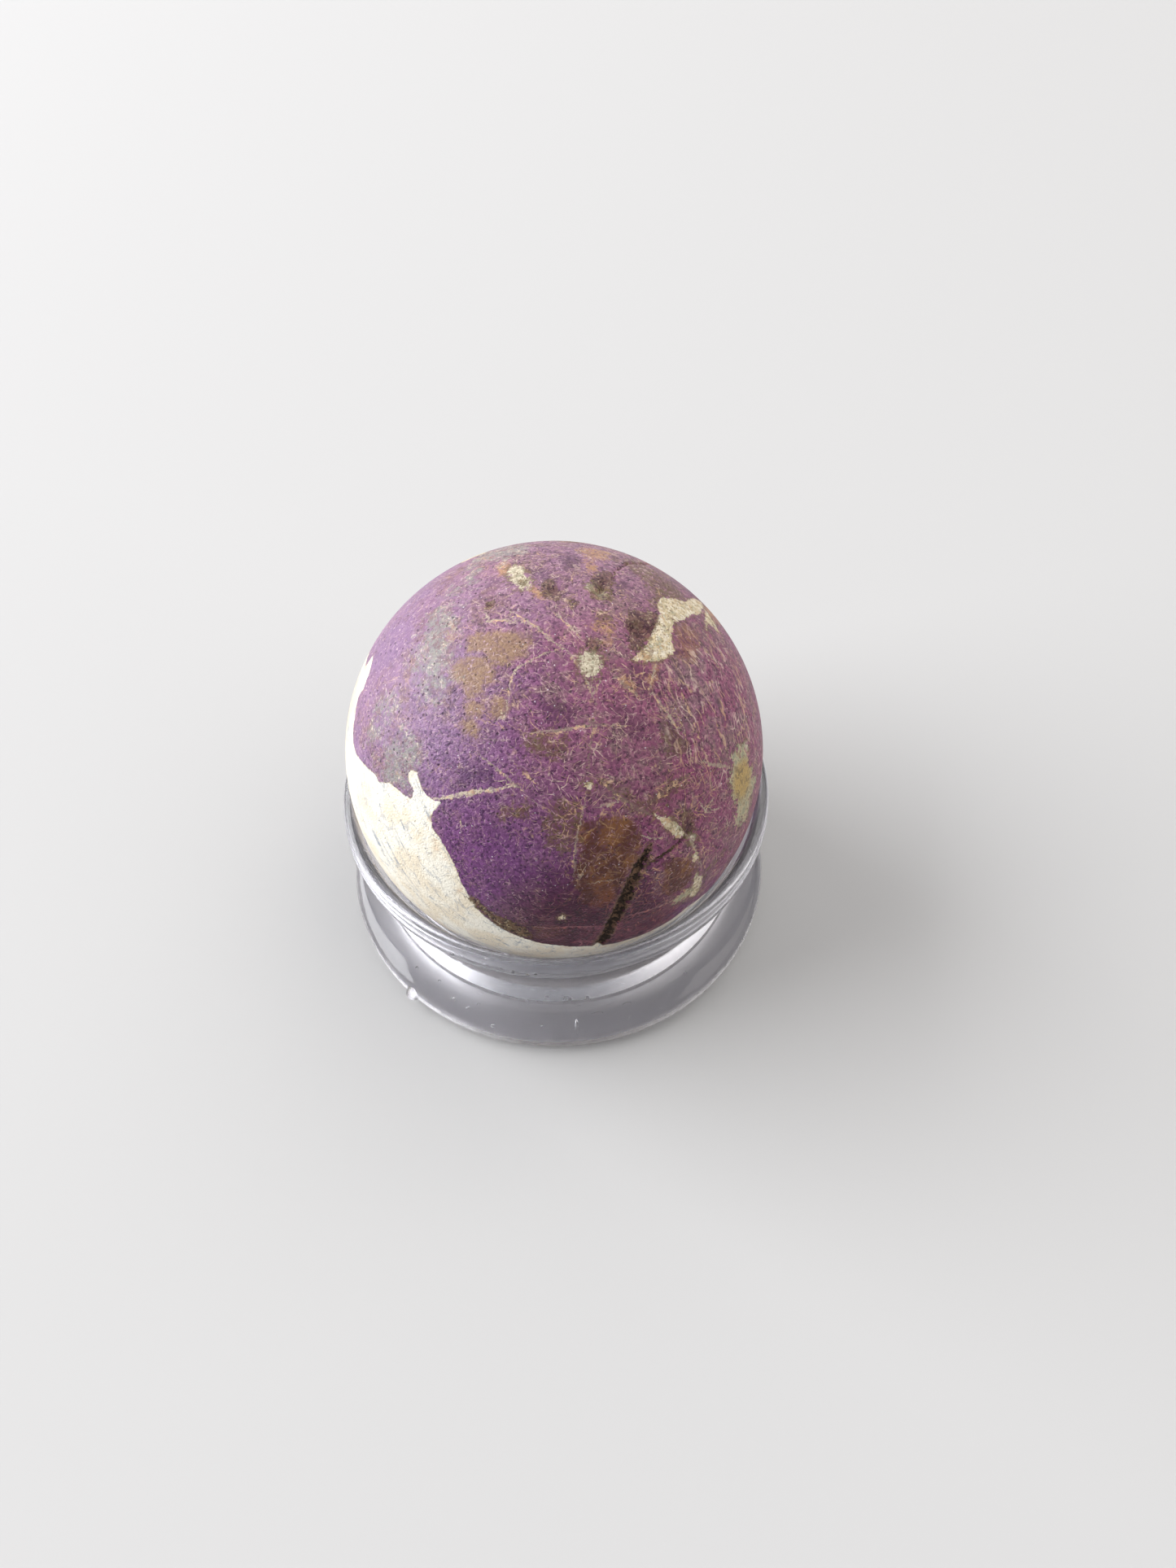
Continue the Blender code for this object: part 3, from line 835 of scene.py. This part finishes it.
bloom_colour = layered(
    BLOOM_GREY,
    (fade(clots, 0.48, 0.62, 0.0, 0.8), MAUVE_BROWN),
    (fade(clots, 0.44, 0.30, 0.0, 0.7), STAIN_TAN),
    (product(fade(crumb[2], 0.72, 0.98), fade(ragged, 0.0, 0.1), 0.7), MATRIX_CREAM))

# Hair veins: long ones of three lays, short straight ones, flecks, and the parallel ones on the right
long_hairs = strongest(
    place_group(curl_veins, place, Stretch=(0.30, 0.95, 0.90), Width=0.006, Cover=0.60, Seed=3.0),
    hair_lay((0.2, -0.3, 0.25), (0.16, 0.85, 0.95), 0.038, 0.55, 11.0),
    hair_lay((-0.6, 1.2, 0.9), (0.17, 0.75, 0.95), 0.036, 0.52, 23.0))
short_hairs = strongest(needle_lay(0.42, 1.6, 0.050, 0.60, 5.0), needle_lay(0.60, 1.1, 0.045, 0.60, 19.0),
                        needle_lay(0.80, 0.8, 0.045, 0.60, 31.0), needle_lay(1.3, 0.45, 0.045, 0.65, 43.0))
flecks = strongest(needle_lay(1.7, 0.28, 0.050, 0.55, 53.0), needle_lay(2.5, 0.17, 0.060, 0.50, 61.0))
streak_turn = lay_along(STREAK_ENDS)
right_hairs = product(hair_lay(streak_turn, (0.12, 1.3, 1.3), 0.10, 0.66, 57.0),
                      towards("streaked side", 0.90, 0.97))
dark_streaks = product(hair_lay(streak_turn, (0.10, 0.9, 0.9), 0.10, 0.60, 71.0),
                       towards("dark streaks", 0.92, 0.98))
hair_share = product(
    fade(total(drift, product(mottle, 0.6)), 0.70, 0.86, 0.45, 1.0), fade(stain, 0.0, 1.0, 1.0, 0.5),
    towards("quiet limb", 0.6, 0.95, 1.0, 0.4), towards("quiet front", 0.90, 0.98, 1.0, 0.45),
    towards("streaked side", 0.93, 0.985, 1.0, 0.40), towards("calm front", 0.93, 0.985, 1.0, 0.30),
    fade(cloud(place, 2.2, 2.0), 0.38, 0.60, 0.35, 1.0))
hair_colour = layered(
    HAIR_TAN,
    (fade(cloud(place, 0.6, 2.0), 0.44, 0.56), HAIR_PALE),
    (fade(drift, 0.52, 0.62, 0.0, 0.5), HAIR_GOLD),
    (towards("golden foot", 0.86, 0.96, 0.0, 0.7), HAIR_GOLD))

# Veins that are followed one by one
vein_offset = total(kept("vein_side"), product(ragged_fine, 0.9))
vein_room = work_out("SUBTRACT", kept("vein_half"), work_out("ABSOLUTE", vein_offset))
vein = product(fade(vein_room, -0.05, 0.05), fade(kept("vein_half"), 0.02, 0.05),
               fade(crumb[2], 0.1, 0.6, 0.5, 0.95), fade(clots, 0.36, 0.52, 0.5, 1.0))
vein_colour = layered(VEIN_CREAM, (kept("vein_tone"), VEIN_BROWN), (fade(clots, 0.52, 0.6), HAIR_TAN))

# Fine pits, painted black as shade, and painted glints: white highlights where a crystal face is cut
holes = place_group(pinholes_and_glints, place, Scale=2.2, Size=0.34, Share=0.35)
painted_glints = place_group(pinholes_and_glints, place, Scale=1.9, Size=0.17, Share=0.22)

# The purple with all that lies in it, darkened low on the front by painted shade
ground = layered(
    purple,
    (stain, stain_colour),
    (faint_stain, blend(fade(clots, 0.45, 0.6), STAIN_MAUVE, OLIVE)),
    (flush, flush_colour),
    (bloom, bloom_colour),
    (product(flecks, 0.65), blend(0.35, light_purple, HAIR_PALE)),
    (product(short_hairs, hair_share, 0.72), hair_colour),
    (product(long_hairs, hair_share, 0.78), hair_colour),
    (product(dark_streaks, 0.7), dark_purple),
    (product(right_hairs, 0.6), hair_colour),
    (vein, vein_colour),
    # Painted shade: the fine pits, sunk in the bump, are also painted near black
    (product(holes, 0.6), PIT_SHADE_BLACK),
    # Painted highlight: white glints of crystal faces
    (product(painted_glints, 0.6), GLINT_HIGHLIGHT_WHITE))
# Painted shade: the ground is multiplied darker and more saturated towards the foot of the front
shaded_ground = blend(1.0, ground, FRONT_FOOT_SHADE, "MULTIPLY")
ground = blend(towards("shaded front foot", 0.86, 0.985), ground, shaded_ground)

# Cream matrix with blue-grey streaks, dark thin lines, rust along its edge, and painted shade on its window
# side
matrix_edge = torn("matrix", 0.0, 0.6)
grain_turn = lay_along(MATRIX_GRAIN_ENDS)
turned_place = put(skin, "VectorRotate", {"rotation_type": "EULER_XYZ"}, Vector=place, Rotation=grain_turn)
streaks = cloud(vector_work("MULTIPLY", turned_place.outputs[0], (0.16, 1.1, 1.1)), 1.0, 5.0, 0.7, 0.5)
fine_lines = strongest(hair_lay(grain_turn, (0.16, 0.9, 0.9), 0.055, 0.60, 51.0),
                       hair_lay((0.8, 0.2, 1.4), (0.4, 0.5, 0.5), 0.022, 0.50, 67.0))
rusty = product(fade(matrix_edge, 0.0, 2.2, 1.0, 0.1), fade(cloud(place, 0.8, 5.0, 0.65), 0.54, 0.68), 0.38)
matrix = layered(
    MATRIX_WHITE,
    (fade(cloud(place, 0.3, 4.0), 0.42, 0.60), MATRIX_CREAM),
    # Duller matrix on the side that faces the window lamp: painted shade, which tones down the light there
    (product(towards("window shade side", 0.64, 0.90), fade(mottle, 0.30, 0.70, 0.55, 1.0)), MATRIX_WINDOW_SHADE),
    (product(fade(streaks, 0.53, 0.68), fade(clots, 0.36, 0.55), 0.9), MATRIX_BLUE),
    (product(fine_lines, 0.5), MATRIX_BLUE),
    (rusty, RUST),
    (product(fade(matrix_edge, 0.0, 0.14, 0.9, 0.0), fade(clots, 0.4, 0.55)), OLIVE))

# Cream patches with a brown rim, pale and yellow ones with an olive rim
cream_rim = product(fade(torn("cream", 0.0, 1.6), -0.52, -0.12), fade(clots, 0.42, 0.56), 0.8)
cream = layered(
    PATCH_CREAM,
    (fade(clots, 0.52, 0.64, 0.0, 0.8), PATCH_GREEN),
    (fade(clots, 0.50, 0.40, 0.0, 0.75), MATRIX_CREAM),
    (fade(crumb[0], 0.6, 0.95, 0.0, 0.5), MATRIX_WHITE),
    (fade(grain, 0.56, 0.66, 0.0, 0.85), OXIDE_BROWN),
    (product(fade(mottle, 0.52, 0.60), fade(crumb[2], 0.3, 0.8), 0.7), OXIDE_BROWN),
    (fade(ragged, 0.04, 0.14, 0.0, 0.75), FLECK_TAN))
pale_rim = product(fade(torn("pale", 0.0, 2.4), -0.80, -0.20), fade(clots, 0.38, 0.56), 0.75)
pale = layered(
    PALE_WHITE,
    (fade(clots, 0.50, 0.62, 0.0, 0.8), PATCH_GREEN),
    (fade(crumb[0], 0.6, 1.0, 0.0, 0.6), MATRIX_CREAM),
    (fade(crumb[2], 0.65, 1.0, 0.0, 0.6), OXIDE_BROWN),
    (fade(grain, 0.55, 0.66, 0.0, 0.8), OLIVE))
yellow_edge = torn("yellow", 3.2, 3.0)
yellow_rim = product(fade(yellow_edge, -0.55, -0.1), fade(clots, 0.42, 0.56), 0.8)
yellow = layered(
    PATCH_CREAM,
    (fade(clots, 0.42, 0.60), PATCH_GREEN),
    (product(towards("ochre heart", 0.993, 0.9985), fade(mottle, 0.40, 0.50, 0.5, 1.0)), YELLOW_OCHRE),
    (fade(clots, 0.50, 0.40, 0.0, 0.7), OLIVE),
    (fade(grain, 0.55, 0.68, 0.0, 0.7), OLIVE))

# Dark granular oxide, the seams, and the crack with its brown rim
dark_mask = product(fade(torn("dark", 1.4, 1.6), -0.30, 0.02),
                    towards("matrix fringe", 0.90, 0.97, 0.68, 0.92))
oxide = layered(
    OXIDE_DARK,
    (fade(crumb[1], 0.25, 0.85), OXIDE_BROWN),
    (fade(clots, 0.50, 0.60, 0.0, 0.8), OLIVE),
    (product(fade(crumb[2], 0.6, 0.98), fade(grain, 0.45, 0.6), 0.7), PATCH_CREAM))
seam_mask = product(fade(torn("seam", 0.0, 0.6), -0.05, 0.06), fade(clots, 0.36, 0.50, 0.45, 0.95))
crack_edge = torn("crack", 1.1, 1.1)
crack_mask = fade(crack_edge, -0.06, 0.10)
crack_crumbs = product(fade(crumb[1], 0.3, 0.9), fade(clots, 0.40, 0.54))

colour = layered(
    ground,
    (fade(matrix_edge, -0.02, 0.04), matrix),
    (cream_rim, OXIDE_BROWN),
    (fade(torn("cream", 0.0, 0.9), -0.14, -0.06), cream),
    (pale_rim, OLIVE),
    (fade(torn("pale", 0.0, 1.8), -0.30, 0.10), pale),
    (yellow_rim, OLIVE),
    (fade(yellow_edge, -0.12, 0.02), yellow),
    (dark_mask, oxide),
    (seam_mask, blend(fade(crumb[1], 0.3, 0.9), OXIDE_DARK, OLIVE)),
    (product(fade(crack_edge, -0.40, 0.0), fade(clots, 0.38, 0.52), 0.8), OXIDE_BROWN),
    (crack_mask, blend(crack_crumbs, CRACK_BLACK, OXIDE_BROWN)))

# Satin polish on the skin, dull in the hollows, with relief too fine for the mesh: grains, pits and crumbs
POLISHED_LEAST, POLISHED_MOST, DULL_ROUGHNESS = 0.36, 0.52, 0.85
FINE_RELIEF = 0.06 * MM
dull = strongest(fade(kept("hollow"), 0.02, 0.15), crack_mask, dark_mask)
polish = fade(clots, 0.3, 0.7, POLISHED_LEAST, POLISHED_MOST)
relief_height = total(product(holes, -1.6), product(grain, even_left, 1.5), product(strokes, even_left, 1.6),
                      product(crumbs["Distance"], even_left, -0.7), product(dull, clots, 3.0))
fine_relief = put(skin, "Bump", None, Strength=0.7, Distance=FINE_RELIEF, Height=relief_height)
skin_shader = skin.nodes["Principled BSDF"].inputs
feed(skin_shader["Base Color"], colour)
feed(skin_shader["Roughness"], blend_value(dull, polish, DULL_ROUGHNESS))
feed(skin_shader["Normal"], fine_relief.outputs["Normal"])
feed(skin_shader["IOR"], 1.5)
feed(skin_shader["Specular IOR Level"], 0.26)

stone.data.materials.append(stone_material)
bpy.ops.object.select_all(action="DESELECT")
stone.select_set(True)
bpy.context.view_layer.objects.active = stone
bpy.ops.object.shade_smooth()
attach(stone, "root")
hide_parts("purpurite_sphere")

# Ring stand
# One clear plastic moulding, waisted like a spool: a rounded upper rim with a hollow seat for the ball, a
# base bead with a flat foot, and a straight bore. Its outside has nicks and the stub of the moulding's gate.
STAND_HEIGHT = 16.0 * MM
CREST_OUTER, CREST_ROUNDING = 21.4 * MM, 0.9 * MM
WAIST_RADIUS, WAIST_HEIGHT = 18.9 * MM, 8.4 * MM
BASE_RADIUS, BEAD_RADIUS = 22.3 * MM, 1.45 * MM
BORE_RADIUS, FOOT_CHAMFER = 15.0 * MM, 0.4 * MM
SEAT_GAP = 0.3 * MM
CREST_ENDS_AT, BEAD_STARTS_AT, BEAD_ENDS_AT = -40.0, 60.0, -90.0
TURN_STEPS, ROUND_STEPS, HOLLOW_STEPS = 160, 20, 14
MERGE_WITHIN = 0.01 * MM
SMOOTH_UP_TO = math.radians(30.0)


def arc(centre, radius, start, end, steps):
    angles = [math.radians(start + (end - start) * step / steps) for step in range(steps + 1)]
    return [(centre[0] + radius * math.cos(angle), centre[1] + radius * math.sin(angle)) for angle in angles]


def hollow_arc(end_radius, end_height):
    """Arc of the waist, from its narrowest point out to an end point."""
    out, rise = end_radius - WAIST_RADIUS, end_height - WAIST_HEIGHT
    radius = (out * out + rise * rise) / (2.0 * out)
    reach = math.degrees(math.asin(rise / radius))
    return arc((WAIST_RADIUS + radius, WAIST_HEIGHT), radius, 180.0, 180.0 - reach, HOLLOW_STEPS)


seat_radius = ball_radius + SEAT_GAP
crest = (CREST_OUTER - CREST_ROUNDING, STAND_HEIGHT - CREST_ROUNDING)
crest_drop = math.degrees(math.atan2(ball_centre.z - crest[1], crest[0]))
crest_arc = arc(crest, CREST_ROUNDING, 180.0 - crest_drop, CREST_ENDS_AT, ROUND_STEPS)
bead = (BASE_RADIUS - BEAD_RADIUS, BEAD_RADIUS)
bead_arc = arc(bead, BEAD_RADIUS, BEAD_STARTS_AT, BEAD_ENDS_AT, ROUND_STEPS)
upper_waist = hollow_arc(*crest_arc[-1])
lower_waist = hollow_arc(*bead_arc[0])
foot = [(BORE_RADIUS + FOOT_CHAMFER, 0.0), (BORE_RADIUS, FOOT_CHAMFER)]
bore_angle = math.degrees(math.acos(BORE_RADIUS / seat_radius))
rim_angle = math.degrees(math.acos(crest_arc[0][0] / seat_radius))
seat = arc((0.0, ball_centre.z), seat_radius, -bore_angle, -rim_angle, HOLLOW_STEPS)
section = crest_arc + upper_waist[-2::-1] + lower_waist[1:-1] + bead_arc + foot + seat[:-1]

bpy.ops.object.select_all(action="DESELECT")
bpy.ops.mesh.primitive_circle_add(vertices=len(section), radius=BASE_RADIUS, fill_type="NOTHING")
stand = bpy.context.object
stand.name = "clear_ring"
for corner, (radius, height) in zip(stand.data.vertices, section):
    corner.co = (radius, 0.0, height)
bpy.ops.object.mode_set(mode="EDIT")
bpy.ops.mesh.select_all(action="SELECT")
bpy.ops.mesh.spin(steps=TURN_STEPS, angle=math.radians(360.0), center=(0.0, 0.0, 0.0), axis=(0.0, 0.0, 1.0))
bpy.ops.mesh.select_all(action="SELECT")
bpy.ops.mesh.remove_doubles(threshold=MERGE_WITHIN)
bpy.ops.mesh.normals_make_consistent(inside=False)
bpy.ops.object.mode_set(mode="OBJECT")

# The stub of the gate stands out of the base bead. Nicks are cut into the outside: pixel of the photograph,
# width and height in millimetres, before their growth
STUB_RADIUS, STUB_REACH, STUB_HEIGHT, STUB_LONGITUDE = 0.85 * MM, 22.1 * MM, 1.5 * MM, -41.5
NICK_GROWTH, NICK_DEPTH, NICK_RISE = 1.8, 0.32 * MM, 0.05
NICKS = [
    (557, 1229, 0.34, 0.34), (575, 1240, 0.26, 0.26), (588, 1235, 0.22, 0.22), (606, 1261, 0.30, 0.22),
    (667, 1262, 0.24, 0.20), (709, 1262, 0.22, 0.95), (700, 1228, 0.26, 0.26), (722, 1226, 0.20, 0.20),
    (647, 1230, 0.20, 0.20), (617, 1223, 0.22, 0.22), (672, 1225, 0.18, 0.18), (733, 1246, 0.75, 0.20),
    (770, 1234, 0.55, 0.20), (585, 1156, 0.22, 0.22), (609, 1165, 0.30, 0.26), (597, 1178, 0.20, 0.20),
    (622, 1172, 0.26, 0.20), (555, 1173, 0.22, 0.22), (630, 1195, 0.20, 0.20), (648, 1199, 0.24, 0.20),
    (658, 1197, 0.18, 0.18), (842, 1196, 0.22, 0.30), (540, 1206, 0.20, 0.20), (512, 1190, 0.20, 0.26),
]


def add_lump(place, axes, sizes):
    """Rounded lump at a place, with its half sizes along three axes."""
    bpy.ops.object.select_all(action="DESELECT")
    bpy.ops.mesh.primitive_ico_sphere_add(subdivisions=2, radius=1.0, location=(0.0, 0.0, 0.0))
    lump = bpy.context.object
    lump.data.transform(Matrix.Translation(place) @ axes @ Matrix.Diagonal((*sizes, 1.0)))
    return lump


def combine(target, tool, operation):
    """Adds a tool's solid to a piece or cuts it away, and removes the tool."""
    bpy.ops.object.select_all(action="DESELECT")
    bpy.context.view_layer.objects.active = target
    target.select_set(True)
    change = target.modifiers.new(operation.lower(), "BOOLEAN")
    change.operation = operation
    change.solver = "EXACT"
    change.object = tool
    bpy.ops.object.modifier_apply(modifier=change.name)
    bpy.data.objects.remove(tool)


stub_side = turned(STUB_LONGITUDE, 0.0)
stub_place = stub_side * STUB_REACH + Vector((0.0, 0.0, STUB_HEIGHT))
nick_lumps = []
for pixel_x, pixel_y, width, height in NICKS:
    hit, spot, outward, _ = stand.ray_cast(camera_place, sight_line(pixel_x, pixel_y))
    if hit:
        axes = outward.to_track_quat("Z", "Y").to_matrix().to_4x4()
        sizes = (0.5 * NICK_GROWTH * width * MM, 0.5 * NICK_GROWTH * height * MM, NICK_DEPTH)
        nick_lumps.append(add_lump(spot + outward * NICK_DEPTH * NICK_RISE, axes, sizes))
bpy.ops.object.select_all(action="DESELECT")
for lump in nick_lumps:
    lump.select_set(True)
bpy.context.view_layer.objects.active = nick_lumps[0]
bpy.ops.object.join()
combine(stand, bpy.context.object, "DIFFERENCE")
combine(stand, add_lump(stub_place, Matrix.Identity(4), (STUB_RADIUS,) * 3), "UNION")

# Clear and faintly hazed, with fine scuffs, a few pricks, the ripple of its mould, and a worn foot
CLEAR_TINT = (0.945, 0.935, 0.985, 1.0)
PLASTIC_BEND = 1.5
HAZE_LEAST, HAZE_MOST, FOOT_HAZE = 0.08, 0.17, 0.4
FOOT_HAZE_FULL, FOOT_HAZE_GONE = 0.1, 1.0
SURFACE_RELIEF = 0.1 * MM

plastic = bpy.data.materials.new("clear_moulded_plastic")
plastic.use_nodes = True
plastic_tree = plastic.node_tree
place_on_stand = in_millimetres(plastic_tree, (0.0, 0.0, 0.0))
scuff = place_group(hair_veins, place_on_stand, Turn=(0.2, 0.1, 0.0), Stretch=(0.4, 0.4, 1.2), Width=0.03,
                    Cover=0.45, Seed=7.0)
haze = fade(cloud(place_on_stand, 0.5, 4.0), 0.40, 0.75, HAZE_LEAST, HAZE_MOST)
height_above = put(plastic_tree, "SeparateXYZ", None, Vector=place_on_stand).outputs["Z"]
foot_haze = fade(height_above, FOOT_HAZE_FULL, FOOT_HAZE_GONE, FOOT_HAZE, 0.0)
pricks = place_group(pinholes_and_glints, place_on_stand, Scale=0.55, Size=0.2, Share=0.35)
surface = total(product(pricks, -0.8), product(cloud(place_on_stand, 0.25, 2.0), 1.5), product(scuff, -0.2))
ripple = put(plastic_tree, "Bump", None, Strength=0.15, Distance=SURFACE_RELIEF, Height=surface)
plastic_shader = plastic_tree.nodes["Principled BSDF"].inputs
feed(plastic_shader["Base Color"], CLEAR_TINT)
feed(plastic_shader["Transmission Weight"], 1.0)
feed(plastic_shader["IOR"], PLASTIC_BEND)
feed(plastic_shader["Roughness"], strongest(total(haze, product(scuff, 0.15)), foot_haze))
feed(plastic_shader["Normal"], ripple.outputs["Normal"])

stand.data.materials.append(plastic)
bpy.ops.object.shade_smooth_by_angle(angle=SMOOTH_UP_TO)
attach(stand, "root")
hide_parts("ring_stand")

# Floor
# A plain pale sheet of paper, which isn't part of the object. It lies just under the foot, so that the clear
# plastic and the paper don't share a face.
FLOOR_SIDE, FLOOR_DROP = 3.0, 0.1 * MM
PAPER_COLOUR, PAPER_ROUGHNESS = (0.50, 0.495, 0.49, 1.0), 0.9

bpy.ops.object.select_all(action="DESELECT")
bpy.ops.mesh.primitive_plane_add(size=FLOOR_SIDE, location=(0.0, 0.0, -FLOOR_DROP))
floor = bpy.context.object
floor.name = "pale_floor"
paper = bpy.data.materials.new("pale_paper")
paper.use_nodes = True
paper_shader = paper.node_tree.nodes["Principled BSDF"].inputs
feed(paper_shader["Base Color"], PAPER_COLOUR)
feed(paper_shader["Roughness"], PAPER_ROUGHNESS)
floor.data.materials.append(paper)

# Light
# A large soft window on the left, a pale wall behind, a weaker fill from the right, and a dim sky all round.
# Each lamp has a place, a size in metres, a power in watts and a colour. Colours are shown as they are.
LAMPS = [
    ("window", (-1.0, 0.16, 0.56), (1.2, 1.1), 28.5, (0.97, 0.98, 1.0)),
    ("pale wall", (0.1, 1.3, 0.9), (2.6, 1.5), 13.5, (1.0, 0.975, 0.95)),
    ("fill", (0.95, 0.1, 0.95), (1.9, 1.7), 14.5, (1.0, 0.97, 0.93)),
]
SKY_COLOUR, SKY_STRENGTH = (0.90, 0.93, 1.0, 1.0), 0.305

for name, lamp_place, (width, height), power, lamp_colour in LAMPS:
    data = bpy.data.lights.new(name, "AREA")
    data.shape = "RECTANGLE"
    data.size = width
    data.size_y = height
    data.energy = power
    data.color = lamp_colour
    lamp = bpy.data.objects.new(name, data)
    bpy.context.scene.collection.objects.link(lamp)
    lamp.location = lamp_place
    lamp.rotation_euler = (ball_centre - Vector(lamp_place)).to_track_quat("-Z", "Y").to_euler()

world = bpy.data.worlds.new("soft_sky")
world.use_nodes = True
sky = world.node_tree.nodes["Background"].inputs
feed(sky["Color"], SKY_COLOUR)
feed(sky["Strength"], SKY_STRENGTH)
bpy.context.scene.world = world
bpy.context.scene.view_settings.view_transform = "Standard"
